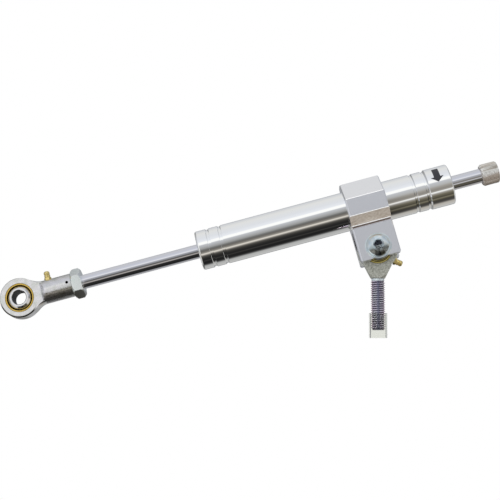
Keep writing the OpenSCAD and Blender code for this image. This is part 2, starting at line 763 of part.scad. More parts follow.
// Eye at the rod's front end: a flat plate that runs into a round, tapped shank
module rod_eye() {
    shank_r = shank_d / 2;
    plate_half = eye_t / 2;
    fillet_x = sqrt(pow(eye_r + neck_fillet, 2) - pow(shank_r + neck_fillet, 2));
    shoulder = (shank_r + neck_fillet) * eye_r / (eye_r + neck_fillet);
    flat_end = flat_l + shank_r - plate_half;
    shoulder_x = fillet_x * eye_r / (eye_r + neck_fillet);
    corner_r = norm([shoulder, plate_half]) + edge;
    color([0.72, 0.73, 0.72]) difference() {
        union() {
            eye_plate();
            intersection() {
                rotate([90, 0, 0]) linear_extrude(eye_t, center = true) difference() {
                    translate([0, -shoulder]) square([fillet_x, 2 * shoulder]);
                    for (side = [-1, 1])
                        translate([fillet_x, side * (shank_r + neck_fillet)])
                            circle(r = neck_fillet, $fn = 144);
                }
                turned(concat(
                    [[0, 0], [corner_r, 0]],
                    [for (t = [0 : 0.1 : 1]) [
                        shank_r + (corner_r - shank_r) * pow(1 - t, 2),
                        shoulder_x + (fillet_x - shoulder_x) * t
                    ]],
                    [[0, fillet_x]]
                ));
            }
            intersection() {
                turned([
                    [0, eye_r * 0.8], [shank_r, eye_r * 0.8], [shank_r, eye_reach - edge],
                    [shank_r - edge, eye_reach], [0, eye_reach]
                ]);
                linear_extrude(2 * shank_d, center = true) polygon([
                    [0, -plate_half], [flat_l, -plate_half], [flat_end, -shank_r], [flat_end, -shank_d],
                    [eye_reach + overcut, -shank_d], [eye_reach + overcut, shank_d],
                    [flat_end, shank_d], [flat_end, shank_r], [flat_l, plate_half], [0, plate_half]
                ]);
            }
        }
        across(2 * eye_t, race_r + seated);
        ring(eye_reach - tap_depth, tap_depth + overcut, rod_r + seated, 0);
        translate([eye_reach - witness_in, 0, 0]) rotate([90 - witness_up, 0, 0])
            cylinder(h = shank_d, d = witness_d);
        translate([nipple_x, 0, shank_r - nipple_spot]) nipple_hole();
    }
}

module rod_eye_nipple() {
    color([0.7, 0.56, 0.22]) translate([nipple_x, 0, shank_d / 2 - nipple_spot]) nipple();
}

module rod_eye_race() {
    color([0.72, 0.6, 0.25]) race();
}

module rod_eye_ball() {
    color([0.75, 0.76, 0.78]) ball();
}

// Knurled knob over the rod's tail, bored for the shaft and the screw behind it
module adjuster_knob() {
    knob_r = knob_d / 2;
    core_r = knob_r - knurl_h - seated;
    end_r = knob_r - knob_bevel;
    slope = core_r - end_r;
    tip = knob_x + knob_l;
    color([0.7, 0.7, 0.68]) difference() {
        union() {
            turned([
                [0, knob_x], [end_r, knob_x], [core_r, knob_x + slope],
                [core_r, tip - slope], [end_r, tip], [0, tip]
            ]);
            translate([knob_x + knob_bevel, 0, 0]) rotate([90, 0, 90])
                linear_extrude(knob_l - 2 * knob_bevel) polygon([
                    for (i = [0 : 2 * knurls - 1])
                        let (a = i * 180 / knurls, r = i % 2 == 0 ? knob_r : knob_r - knurl_h)
                            [r * cos(a), r * sin(a)]
                ]);
        }
        ring(knob_x - overcut, rod_end + edge - knob_x + overcut, rod_r + running, 0);
        ring(knob_x, shaft_end - knob_x + seated, shaft_d / 2 + seated, 0);
        ring(knob_x, tip - knob_x + overcut, knob_screw_d / 2 + seated, 0);
        ring(tip - knob_screw_head_h - seated, knob_l, knob_screw_head_d / 2 + seated, 0);
    }
}

// Shaft inside the rod: the knob turns it, and its thin end turns in the needle
module adjuster_shaft() {
    shaft_r = shaft_d / 2;
    color([0.6, 0.6, 0.62]) difference() {
        turned([
            [0, shaft_x - shaft_pin_l], [shaft_pin_d / 2, shaft_x - shaft_pin_l],
            [shaft_pin_d / 2, shaft_x], [shaft_r, shaft_x],
            [shaft_r, shaft_oring_x - shaft_oring_d * 0.7], [shaft_groove_r, shaft_oring_x - shaft_oring_d * 0.7],
            [shaft_groove_r, shaft_oring_x + shaft_oring_d * 0.7], [shaft_r, shaft_oring_x + shaft_oring_d * 0.7],
            [shaft_r, shaft_end], [0, shaft_end]
        ]);
        ring(shaft_end - knob_screw_grip - edge, knob_screw_grip + edge + overcut,
            knob_screw_d / 2 + seated, 0);
    }
}

module shaft_oring() {
    outer = gallery_r - running;
    color([0.08, 0.08, 0.09]) turned([
        [shaft_groove_r + seated, shaft_oring_x - shaft_oring_d * 0.4],
        [(outer + shaft_groove_r) / 2, shaft_oring_x - shaft_oring_d * 0.5],
        [outer, shaft_oring_x - shaft_oring_d * 0.3], [outer, shaft_oring_x + shaft_oring_d * 0.3],
        [(outer + shaft_groove_r) / 2, shaft_oring_x + shaft_oring_d * 0.5],
        [shaft_groove_r + seated, shaft_oring_x + shaft_oring_d * 0.4]
    ]);
}

// Small socket screw that holds the knob against the shaft
module knob_screw() {
    tip = knob_x + knob_l;
    head_x = tip - knob_screw_head_h;
    color([0.3, 0.3, 0.32]) difference() {
        turned([
            [0, shaft_end - knob_screw_grip], [knob_screw_d / 2, shaft_end - knob_screw_grip],
            [knob_screw_d / 2, head_x], [knob_screw_head_d / 2, head_x],
            [knob_screw_head_d / 2, tip - edge / 2], [knob_screw_head_d / 2 - edge / 2, tip], [0, tip]
        ]);
        translate([head_x + knob_screw_head_h * 0.3, 0, 0]) rotate([0, 90, 0])
            cylinder(h = knob_screw_head_h, d = knob_screw_d * 0.8, $fn = 6);
    }
}

// Needle that throttles the oil: it slides in the rod as the shaft turns
module adjuster_needle() {
    needle_r = gallery_r - running;
    taper = (needle_r - seat_d / 4) * 1.2;
    color([0.66, 0.66, 0.68]) difference() {
        turned([
            [0, needle_x], [seat_d / 4, needle_x], [seat_d * 0.45, needle_x + taper],
            [needle_r, needle_x + taper], [needle_r, needle_end], [0, needle_end]
        ]);
        ring(shaft_x - shaft_pin_l - 2 * needle_open, shaft_pin_l + 2 * needle_open,
            shaft_pin_d / 2 + running, 0);
    }
}

barrel_tube();
front_cap();
front_bush();
front_seal();
front_wiper();
front_oring();
rear_cap();
rear_bush();
rear_seal();
rear_wiper();
rear_oring();
clamp_block();
clevis_bolt();
bolt_washer();
stud_ball();
stud_race();
stud_rod_end();
stud_nipple();
thread_cover();
piston();
piston_ring();
piston_clips();
piston_rod();
rod_jam_nut();
rod_eye();
rod_eye_nipple();
rod_eye_race();
rod_eye_ball();
adjuster_knob();
adjuster_shaft();
shaft_oring();
knob_screw();
adjuster_needle();
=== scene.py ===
import json
import math

import bmesh
import bpy
from mathutils import Matrix, Vector


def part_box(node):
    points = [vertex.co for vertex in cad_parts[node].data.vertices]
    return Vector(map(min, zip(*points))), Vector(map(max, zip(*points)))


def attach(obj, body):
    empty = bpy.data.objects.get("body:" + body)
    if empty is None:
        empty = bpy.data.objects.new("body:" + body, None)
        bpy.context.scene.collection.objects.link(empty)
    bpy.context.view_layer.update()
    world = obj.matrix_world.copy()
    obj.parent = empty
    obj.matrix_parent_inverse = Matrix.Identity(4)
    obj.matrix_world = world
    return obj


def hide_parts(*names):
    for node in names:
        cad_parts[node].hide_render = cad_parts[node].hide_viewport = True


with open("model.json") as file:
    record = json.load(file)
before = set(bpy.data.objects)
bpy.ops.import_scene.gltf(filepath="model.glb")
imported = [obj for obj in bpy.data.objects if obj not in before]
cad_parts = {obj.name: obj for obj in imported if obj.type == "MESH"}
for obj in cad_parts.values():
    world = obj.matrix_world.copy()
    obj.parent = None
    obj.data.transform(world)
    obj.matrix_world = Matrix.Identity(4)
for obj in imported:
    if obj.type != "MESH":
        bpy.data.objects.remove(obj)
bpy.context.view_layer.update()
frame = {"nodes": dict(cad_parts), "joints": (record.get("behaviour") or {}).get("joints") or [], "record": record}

MM = 0.001
NODES = frame["nodes"]
ORIGIN = (0, 0, 0)
X_AXIS = (1, 0, 0)
Y_AXIS = (0, 1, 0)
Z_AXIS = (0, 0, 1)


# Places taken from the frame

def centre(node):
    """Middle of a node's box."""
    low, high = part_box(node)
    return (Vector(low) + Vector(high)) / 2


def mount(name):
    return next(m for m in frame["record"]["mounts"] if m["name"] == name)


def joint(name):
    return next(j for j in frame["joints"] if j["name"] == name)


STUD_JOINT = Vector(joint("stud_tilt")["pos_m"])
BOLT_JOINT = (STUD_JOINT.x, 0, STUD_JOINT.z)
STUD_WAY = Vector(mount("frame_stud")["axis"]).normalized()
STUD_SIDE = Vector(joint("stud_tilt")["axis"]).normalized()
STUD_FACE = STUD_WAY.cross(STUD_SIDE)
REAR_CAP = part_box("rear_cap")
REAR_CAP_R = (REAR_CAP[1][2] - REAR_CAP[0][2]) / 2
REAR_CAP_END = REAR_CAP[1][0]

# Sizes of the stud's thread, in metres

THREAD_FROM = 20.3 * MM
THREAD_L = 35.6 * MM
THREAD_R = 5.0 * MM
ROOT_R = 4.08 * MM
PITCH = 1.5 * MM
COLLAR_R = 4.4 * MM
COLLAR_L = 1.6 * MM
COLLAR_IN = 0.4 * MM
TIP_BEVEL = 1.1 * MM
THREAD_COLUMNS = 48
ROOT_INSET = 0.9
EDGE = 0.01 * MM
SEAM = 0.0005 * MM

# Edges of the thread's crest and root: parts of the pitch, and their radii

THREAD_PROFILE = [(0, THREAD_R), (0.13, THREAD_R), (0.42, ROOT_R), (0.7, ROOT_R)]

# The printed arrow: its middle from the cap's end, its widths, and its places
# in degrees above the front

ARROW_IN = 9.3 * MM
ARROW_SHAFT_W = 4.5 * MM
ARROW_HEAD_W = 9.2 * MM
ARROW_TOP = 51.5
ARROW_NECK = 18.6
ARROW_POINT = 2.9
ARROW_PROUD = 0.04 * MM
ARROW_SHAFT_ROWS = 8
ARROW_HEAD_ROWS = 6

# Places in materials, in millimetres. A pair says where a mask begins and where it is full.

# Clamp block: the bevel with the cutter's marks and its painted warm reflection, the painted
# highlight lines (height, distance out, half width) and the painted shadow in the groove under the lip
STRIP_PLANE = 27.0
STRIP_HALF = 0.12
STRIP_METAL = 0.25
STREAKS = (0.42, 0.62)
STREAKS_FULL = 0.5
CLAMP_HALF = 19.0
LIP_OUT = 13.3
HIGHLIGHT_LINES = [(-7.9, CLAMP_HALF, 0.22), (4.3, CLAMP_HALF, 0.15), (-14.0, LIP_OUT, 0.32)]
BESIDE = 0.3
LINE_END = 13.6
LIP_SHADOW_AT = -14.85
LIP_SHADOW_HALF = 0.45
LIP_SHADOW_REACH = 1.2

# Rod eye: the painted dark reflection under its face, a darker grainy band on the lower side of its shank, and the
# painted shade in the witness hole
RIM = (12.9, 13.2)
RIM_DEPTH = (-4.1, -4.5)
RIM_HEIGHT = (0, -4)
RIM_END = (10.5, 7.5)
BAND_TOP = (-1.9, -2.4)
BAND_LOW = (-6.4, -5.8)
BAND_FROM = (17.0, 19.0)
BAND_GRAIN = (0.35, 0.6, 1.0, 0.45)
WITNESS_R = 8.0
WITNESS_FROM = 32.0
SHANK_END = 37.6

# Clevis bolt: its head, with painted shade in its lower half, and the socket in it, with painted shade far inside
HEAD_R = 7.35
HEAD_FROM = -14.0
HEAD_SHADE = (-1.0, -3.0)
HEAD_GRAIN = (0.55, 0.9)
SOCKET_R = 3.3
SOCKET_AT = -17.2
SOCKET_SHADE = (-0.6, 0.6)
SOCKET_NEAR = (0.4, -0.4)

# The other pieces
# Nut: where painted shade on its lower face begins and is full
NUT_SHADE = (-6.0, -6.6)
# Knob: where its painted warm reflection begins, and how strong it is when full
KNOB_REFLECTION = (0.0, -6.0)
KNOB_FULL = 0.4
KNOB_STREAKS = (0.42, 0.58)
# Thread: painted shade in its roots, with their oxide
THREAD_ROOT = (4.75, 4.2)
ROOT_OXIDE_AND_SHADE = 0.92
# Thread: painted reflections, pink towards its sides and dark blue in its middle
THREAD_SIDE = (3.2, 4.8)
SIDE_REFLECTION = 0.65
THREAD_MIDDLE = (1.6, 0.4)
MIDDLE_REFLECTION = 0.7
# Races: painted shade inside these radii beside the ball, and a painted dark line at the ring's edge
LINER_R = 8.9
STUD_LINER_R = 8.6
RACE_EDGE = (9.75, 10.1)
# Balls: painted shade and roughness inside the bore
BORE_R = 5.08
BORE_ROUGH = 0.5

# Where noise, which stays near a half, is taken as none and as full
NOISE_RANGE = (0.35, 0.65)


# Camera: a little below the front, rolled so that the barrel rises to the right

CAMERA_BELOW = math.radians(11.35)
CAMERA_SIDE = math.radians(-0.55)
CAMERA_ROLL = math.radians(-14.87)
CAMERA_DISTANCE = 0.8997
CAMERA_TARGET = Vector((0.1637, 0.0, -0.0086))
CAMERA_LENS = 92.8
SENSOR = 36.0


def add_camera():
    away = Vector((
        -math.sin(CAMERA_SIDE) * math.cos(CAMERA_BELOW),
        -math.cos(CAMERA_SIDE) * math.cos(CAMERA_BELOW),
        -math.sin(CAMERA_BELOW),
    ))
    ahead = -away
    right = ahead.cross(Vector((0, 0, 1))).normalized()
    up = right.cross(ahead)
    rolled_right = right * math.cos(CAMERA_ROLL) + up * math.sin(CAMERA_ROLL)
    rolled_up = up * math.cos(CAMERA_ROLL) - right * math.sin(CAMERA_ROLL)
    data = bpy.data.cameras.new("camera")
    data.lens = CAMERA_LENS
    data.sensor_width = SENSOR
    data.clip_start = 0.01
    data.clip_end = 50
    camera = bpy.data.objects.new("camera", data)
    turn = Matrix((rolled_right, rolled_up, away)).transposed()
    camera.matrix_world = Matrix.Translation(CAMERA_TARGET + away * CAMERA_DISTANCE) @ turn.to_4x4()
    bpy.context.scene.collection.objects.link(camera)
    bpy.context.scene.camera = camera


# Colour

def linear(red, green, blue):
    """A colour given as it looks on screen, 0 to 255, as Blender's linear colour."""
    def curve(value):
        value = value / 255
        return value / 12.92 if value <= 0.04045 else ((value + 0.055) / 1.055) ** 2.4
    return (curve(red), curve(green), curve(blue), 1.0)


# The studio round the object, as rings of cards seen in the polished metal. A card is its
# angle below the line to the camera, in degrees, its light on screen, 0 to 255, and its tint.
# The light runs evenly from one card to the next. A tint is shares of red, green and blue.

COOL = (0.99, 1.0, 1.02)
PLAIN = (1.0, 1.0, 0.99)
WARM = (1.03, 1.0, 0.95)
TAN = (1.05, 1.0, 0.85)

SKY_CARDS = [
    (-180, 165, COOL),
    (-160, 180, COOL),
    (-150, 205, COOL),
    (-110, 225, PLAIN),
    (-70, 225, COOL),
    (-50, 235, COOL),
    (-45, 255, PLAIN),
    (-33, 255, PLAIN),
]
BACK_CARDS = [
    (160, 135, COOL),
    (180, 165, COOL),
]
LEFT_CARDS = SKY_CARDS + [
    (-28, 195, COOL),
    (-7, 155, PLAIN),
    (0, 115, PLAIN),
    (8, 100, WARM),
    (15, 125, WARM),
    (20, 150, WARM),
    (23, 210, WARM),
    (27, 210, WARM),
    (31, 145, WARM),
    (37, 80, WARM),
    (47, 50, WARM),
    (58, 35, PLAIN),
    (65, 40, PLAIN),
    (68, 60, WARM),
    (72, 40, PLAIN),
    (80, 30, PLAIN),
    (92, 40, PLAIN),
    (100, 95, PLAIN),
    (110, 175, PLAIN),
    (150, 195, PLAIN),
] + BACK_CARDS
RIGHT_CARDS = SKY_CARDS + [
    (-28, 195, COOL),
    (-10, 180, PLAIN),
    (0, 155, WARM),
    (12, 135, WARM),
    (21, 155, WARM),
    (24, 240, PLAIN),
    (28, 235, PLAIN),
    (34, 155, WARM),
    (45, 105, TAN),
    (60, 70, TAN),
    (67, 120, TAN),
    (74, 75, TAN),
    (85, 60, WARM),
    (96, 80, WARM),
    (110, 175, WARM),
    (150, 195, PLAIN),
] + BACK_CARDS
FAR_LEFT_CARDS = [
    (-180, 120, COOL),
    (-110, 180, PLAIN),
    (-80, 205, COOL),
    (-50, 220, COOL),
    (-30, 245, PLAIN),
    (-8, 250, PLAIN),
    (8, 225, PLAIN),
    (22, 165, WARM),
    (34, 125, WARM),
    (50, 110, WARM),
    (70, 70, WARM),
    (95, 55, WARM),
    (118, 70, PLAIN),
    (140, 140, PLAIN),
    (160, 150, PLAIN),
    (180, 120, COOL),
]
END_CARDS = [
    (-180, 150, COOL),
    (-110, 180, COOL),
    (-50, 215, COOL),
    (-20, 190, PLAIN),
    (10, 170, PLAIN),
    (35, 205, WARM),
    (75, 230, PLAIN),
    (105, 215, PLAIN),
    (150, 165, PLAIN),
    (180, 150, COOL),
]

# Where one set of cards gives way to the next, by how far a ray turns to the right

FAR_LEFT_TO_LEFT = (-0.143, -0.1375)
LEFT_TO_RIGHT = (0.07, 0.13)
TO_ENDS = (0.5, 0.66)

# Soft light on the object, bright from above and in front, dim from below

FILL_WAY = (0, -0.45, 0.89)
FILL_TURN = (-0.7, 0.7)
FILL_LEVELS = (0.2, 1.25)


# Sockets of the Mix node that hold colours, by their place

MIX_FIRST = 6
MIX_SECOND = 7
MIX_RESULT = 2


def link(tree, output, socket):
    tree.links.new(output, socket)


def maths(tree, operation, first, second=None):
    """A Math node on sockets or numbers, as its output."""
    node = tree.nodes.new("ShaderNodeMath")
    node.operation = operation
    for index, value in enumerate((first, second)):
        if value is None:
            continue
        if isinstance(value, (int, float)):
            node.inputs[index].default_value = value
        else:
            link(tree, value, node.inputs[index])
    return node.outputs[0]


def times(tree, *factors):
    product = factors[0]
    for factor in factors[1:]:
        product = maths(tree, "MULTIPLY", product, factor)
    return product


def below(tree, socket, limit):
    return maths(tree, "LESS_THAN", socket, limit)


def size(tree, socket):
    return maths(tree, "ABSOLUTE", socket)


def around(tree, socket, middle, half):
    """1 where a value is less than half away from middle."""
    return below(tree, size(tree, maths(tree, "SUBTRACT", socket, middle)), half)


def dot(tree, socket, vector):
    node = tree.nodes.new("ShaderNodeVectorMath")
    node.operation = "DOT_PRODUCT"
    link(tree, socket, node.inputs[0])
    node.inputs[1].default_value = vector
    return node.outputs["Value"]


def ramp(tree, socket, stops):
    """A colour ramp from (place, colour) stops."""
    node = tree.nodes.new("ShaderNodeValToRGB")
    elements = node.color_ramp.elements
    while len(elements) > 1:
        elements.remove(elements[-1])
    elements[0].position = stops[0][0]
    elements[0].color = stops[0][1]
    for place, colour in stops[1:]:
        element = elements.new(place)
        element.color = colour
    link(tree, socket, node.inputs[0])
    return node.outputs[0]


def blended(tree, factor, first, second):
    """A Mix node on two colours, as its output."""
    node = tree.nodes.new("ShaderNodeMix")
    node.data_type = "RGBA"
    link(tree, factor, node.inputs[0])
    for index, value in ((MIX_FIRST, first), (MIX_SECOND, second)):
        if isinstance(value, tuple):
            node.inputs[index].default_value = value
        else:
            link(tree, value, node.inputs[index])
    return node.outputs[MIX_RESULT]


def mapped(tree, socket, low, high, out_low=0.0, out_high=1.0, smooth=False):
    """A Map Range node, held between its ends, as its output."""
    node = tree.nodes.new("ShaderNodeMapRange")
    node.interpolation_type = "SMOOTHSTEP" if smooth else "LINEAR"
    link(tree, socket, node.inputs[0])
    for index, value in enumerate((low, high, out_low, out_high)):
        node.inputs[index + 1].default_value = value
    return node.outputs[0]


def ring(tree, place, cards):
    """A ring of cards as a colour ramp, which begins behind and goes over the top."""
    stops = []
    for turn, light, shares in cards:
        colour = linear(*(light * share for share in shares))
        stops.append(((turn + 180) / 360, colour))
    return ramp(tree, place, stops)


def add_world():
    """White behind the object, soft white on it, and the studio's cards in its reflections."""
    world = bpy.data.worlds.new("studio")
    bpy.context.scene.world = world
    world.use_nodes = True
    tree = world.node_tree
    tree.nodes.clear()
    way = tree.nodes.new("ShaderNodeTexCoord").outputs["Generated"]
    ahead = dot(tree, way, (0, -math.cos(CAMERA_BELOW), -math.sin(CAMERA_BELOW)))
    down = dot(tree, way, (0, math.sin(CAMERA_BELOW), -math.cos(CAMERA_BELOW)))
    angle = maths(tree, "ARCTAN2", down, ahead)
    place = mapped(tree, angle, -math.pi, math.pi)
    far_left, left, right, ends = (
        ring(tree, place, cards)
        for cards in (FAR_LEFT_CARDS, LEFT_CARDS, RIGHT_CARDS, END_CARDS)
    )
    sideways = dot(tree, way, X_AXIS)
    near = blended(tree, mapped(tree, sideways, *FAR_LEFT_TO_LEFT, smooth=True), far_left, left)
    near = blended(tree, mapped(tree, sideways, *LEFT_TO_RIGHT, smooth=True), near, right)
    end = mapped(tree, size(tree, sideways), *TO_ENDS, smooth=True)
    cards = blended(tree, end, near, ends)
    fill = mapped(tree, dot(tree, way, FILL_WAY), *FILL_TURN, *FILL_LEVELS, smooth=True)
    path = tree.nodes.new("ShaderNodeLightPath")
    through = path.outputs["Is Transmission Ray"]
    mirrored = times(tree, maths(tree, "MINIMUM", path.outputs["Glossy Depth"], 1.0), through)
    in_metal = maths(tree, "MAXIMUM", path.outputs["Is Glossy Ray"], mirrored)
    straight = maths(tree, "SUBTRACT", through, mirrored)
    clear = maths(tree, "MAXIMUM", path.outputs["Is Camera Ray"], straight)
    seen = blended(tree, clear, blended(tree, in_metal, fill, cards), (1, 1, 1, 1))
    background = tree.nodes.new("ShaderNodeBackground")
    link(tree, seen, background.inputs["Color"])
    background.inputs["Strength"].default_value = 1.0
    output = tree.nodes.new("ShaderNodeOutputWorld")
    link(tree, background.outputs[0], output.inputs["Surface"])


# Materials

def shader_of(made):
    return made.node_tree.nodes["Principled BSDF"]


def material(name, colour, metallic, roughness, **more):
    """A Principled material with its constant values on the shader's own sockets."""
    made = bpy.data.materials.new(name)
    made.use_nodes = True
    shader = shader_of(made)
    shader.inputs["Base Color"].default_value = colour
    shader.inputs["Metallic"].default_value = metallic
    shader.inputs["Roughness"].default_value = roughness
    for socket, value in more.items():
        shader.inputs[socket.replace("_", " ")].default_value = value
    return made


def place_on(made, scale=(1, 1, 1)):
    """The object's own coordinates in millimetres, stretched by scale."""
    tree = made.node_tree
    coordinates = tree.nodes.new("ShaderNodeTexCoord").outputs["Object"]
    node = tree.nodes.new("ShaderNodeVectorMath")
    node.operation = "MULTIPLY"
    link(tree, coordinates, node.inputs[0])
    node.inputs[1].default_value = [value / MM for value in scale]
    return node.outputs[0]


def noise(made, scale, stretch=(1, 1, 1), detail=3.0, roughness=0.55):
    """Noise whose grains are about 1 / scale millimetres, before stretching."""
    tree = made.node_tree
    node = tree.nodes.new("ShaderNodeTexNoise")
    node.inputs["Scale"].default_value = scale
    node.inputs["Detail"].default_value = detail
    node.inputs["Roughness"].default_value = roughness
    link(tree, place_on(made, stretch), node.inputs["Vector"])
    return node.outputs["Fac"]


def vary_roughness(made, source, low, high):
    tree = made.node_tree
    link(tree, mapped(tree, source, *NOISE_RANGE, low, high), shader_of(made).inputs["Roughness"])


def vary_colour(made, source, first, second, limits=NOISE_RANGE):
    tree = made.node_tree
    factor = mapped(tree, source, *limits)
    link(tree, blended(tree, factor, first, second), shader_of(made).inputs["Base Color"])


def bump(made, source, height_mm, strength):
    tree = made.node_tree
    node = tree.nodes.new("ShaderNodeBump")
    node.inputs["Strength"].default_value = strength
    node.inputs["Distance"].default_value = height_mm * MM
    link(tree, source, node.inputs["Height"])
    link(tree, node.outputs[0], shader_of(made).inputs["Normal"])


def radial(made, origin, axis):
    """Distance in millimetres from an axis through origin."""
    tree = made.node_tree
    away = tree.nodes.new("ShaderNodeVectorMath")
    away.operation = "SUBTRACT"
    link(tree, place_on(made), away.inputs[0])
    away.inputs[1].default_value = Vector(origin) / MM
    across = tree.nodes.new("ShaderNodeVectorMath")
    across.operation = "CROSS_PRODUCT"
    link(tree, away.outputs[0], across.inputs[0])
    across.inputs[1].default_value = Vector(axis).normalized()
    length = tree.nodes.new("ShaderNodeVectorMath")
    length.operation = "LENGTH"
    link(tree, across.outputs[0], length.inputs[0])
    return length.outputs["Value"]


def along(made, origin, axis):
    """Distance in millimetres along an axis from origin."""
    tree = made.node_tree
    axis = Vector(axis).normalized()
    offset = Vector(origin).dot(axis) / MM
    return maths(tree, "SUBTRACT", dot(tree, place_on(made), axis), offset)


def tint(made, mask, colour):
    """Colours the material's base where mask is 1, over what it has."""
    tree = made.node_tree
    base = shader_of(made).inputs["Base Color"]
    under = base.links[0].from_socket if base.is_linked else tuple(base.default_value)
    link(tree, blended(tree, mask, under, colour), base)


def polished_aluminium():
    made = material("polished_aluminium", linear(252, 253, 254), 1.0, 0.02)
    vary_roughness(made, noise(made, 0.08), 0.014, 0.03)
    return made


def highlight_line(tree, high, wide, at, out, half):
    """Mask of a thin painted highlight line on the block: at its height, out from its middle."""
    return times(tree, around(tree, high, at, half), around(tree, wide, out, BESIDE))


def satin_aluminium():
    """Machined satin, with the cutter's marks and a painted warm reflection on the bevel below the front face,
    painted highlight lines on its edges and a painted shadow under the lip.
    """
    made = material("satin_aluminium", linear(244, 245, 250), 1.0, 0.14)
    vary_roughness(made, noise(made, 0.5), 0.12, 0.16)
    tree = made.node_tree
    high = along(made, ORIGIN, Z_AXIS)
    wide = size(tree, along(made, ORIGIN, Y_AXIS))
    strip = around(tree, maths(tree, "SUBTRACT", wide, high), STRIP_PLANE, STRIP_HALF)
    marks = noise(made, 1.6, (0.35, 1, 1))
    inside_ends = below(tree, size(tree, along(made, centre("clamp_block"), X_AXIS)), LINE_END)
    lines = highlight_line(tree, high, wide, *HIGHLIGHT_LINES[0])
    for line in HIGHLIGHT_LINES[1:]:
        lines = maths(tree, "MAXIMUM", lines, highlight_line(tree, high, wide, *line))
    lines = times(tree, lines, inside_ends)
    # Painted highlight: on these lines the metal gives way to white diffuse
    metal = times(tree, mapped(tree, strip, 0, 1, 1, STRIP_METAL), maths(tree, "SUBTRACT", 1.0, lines))
    link(tree, metal, shader_of(made).inputs["Metallic"])
    # Painted reflection: the bevel is tinted warm for the brown it mirrors from below; the streaks are the
    # cutter's marks, in the same warm tone
    tint(made, strip, linear(250, 238, 224))
    streaks = times(tree, strip, mapped(tree, marks, *STREAKS, 0, STREAKS_FULL))
    tint(made, streaks, linear(196, 176, 156))
    # Painted highlight lines on the block's edges and along the lip
    tint(made, lines, linear(252, 252, 252))
    # Painted shadow just under the lip
    groove = around(tree, high, LIP_SHADOW_AT, LIP_SHADOW_HALF)
    under_lip = around(tree, wide, LIP_OUT, LIP_SHADOW_REACH)
    tint(made, times(tree, groove, under_lip, inside_ends), linear(146, 130, 122))
    return made


def zinc_plate():
    """Bright zinc, with painted shade on the lower half of the bolt's head and far inside its socket."""
    made = material("zinc_plate", linear(226, 238, 246), 1.0, 0.14)
    vary_colour(made, noise(made, 0.35), linear(214, 230, 240), linear(234, 240, 240))
    vary_roughness(made, noise(made, 1.5), 0.1, 0.18)
    tree = made.node_tree
    out = radial(made, BOLT_JOINT, Y_AXIS)
    high = along(made, BOLT_JOINT, Z_AXIS)
    depth = along(made, BOLT_JOINT, Y_AXIS)
    head = times(tree, below(tree, out, HEAD_R), below(tree, depth, HEAD_FROM))
    # Painted shade on the head's lower half, mottled by noise
    grain = mapped(tree, noise(made, 1.1), *NOISE_RANGE, *HEAD_GRAIN)
    low = mapped(tree, high, *HEAD_SHADE, smooth=True)
    tint(made, times(tree, low, grain, head), linear(62, 62, 58))
    deep = maths(tree, "GREATER_THAN", depth, SOCKET_AT)
    socket = times(tree, deep, head, below(tree, out, SOCKET_R))
    # Painted shade far inside the socket
    tint(made, times(tree, socket, mapped(tree, high, *SOCKET_SHADE)), linear(104, 108, 122))
    near = times(tree, socket, mapped(tree, high, *SOCKET_NEAR))
    link(tree, maths(tree, "SUBTRACT", 1.0, near), shader_of(made).inputs["Metallic"])
    return made


def ball_steel():
    """Polished steel, matt inside the bore, with painted shade on the bore's walls."""
    made = material("ball_steel", linear(226, 226, 230), 1.0, 0.12)
    tree = made.node_tree
    inside = below(tree, radial(made, ORIGIN, Y_AXIS), BORE_R)
    # Painted shade on the bore's walls
    tint(made, inside, linear(30, 30, 32))
    polish = mapped(tree, noise(made, 0.6), *NOISE_RANGE, 0.1, 0.14)
    rough = maths(tree, "MAXIMUM", polish, times(tree, inside, BORE_ROUGH))
    link(tree, rough, shader_of(made).inputs["Roughness"])
    return made


def eye_steel():
    """Bright plated steel with a darker grainy band on the lower side of the shank, painted shade in the witness
    hole and a painted dark reflection on the rim under its face.
    """
    made = material("eye_steel", linear(240, 242, 242), 1.0, 0.16)
    vary_colour(made, noise(made, 0.2), linear(214, 216, 213), linear(236, 234, 240))
    vary_roughness(made, noise(made, 0.7), 0.13, 0.2)
    tree = made.node_tree
    ahead = along(made, ORIGIN, X_AXIS)
    deep = along(made, ORIGIN, Y_AXIS)
    high = along(made, ORIGIN, Z_AXIS)
    inside = below(tree, radial(made, ORIGIN, X_AXIS), WITNESS_R)
    past = maths(tree, "GREATER_THAN", ahead, WITNESS_FROM)
    # Painted shade in the witness hole
    tint(made, times(tree, inside, past), linear(10, 10, 10))
    # Painted dark reflection along the lower rim under the face
    rim = times(
        tree, mapped(tree, radial(made, ORIGIN, Y_AXIS), *RIM), mapped(tree, deep, *RIM_DEPTH),
        mapped(tree, high, *RIM_HEIGHT), mapped(tree, ahead, *RIM_END)
    )
    tint(made, rim, linear(70, 68, 64))
    grain = mapped(tree, noise(made, 0.9, (0.6, 1, 1), 4.0), *BAND_GRAIN)
    band = times(
        tree, mapped(tree, high, *BAND_TOP), mapped(tree, high, *BAND_LOW),
        mapped(tree, ahead, *BAND_FROM), grain
    )
    tint(made, band, linear(150, 148, 140))
    return made


def nut_steel():
    """Plated steel, with painted shade on the face that looks down."""
    made = material("nut_steel", linear(240, 248, 248), 1.0, 0.14)
    vary_colour(made, noise(made, 0.3), linear(236, 245, 244), linear(242, 246, 248))
    vary_roughness(made, noise(made, 1.2), 0.12, 0.18)
    # Painted shade on the lower face
    low = mapped(made.node_tree, along(made, ORIGIN, Z_AXIS), *NUT_SHADE)
    tint(made, low, linear(136, 136, 130))
    return made


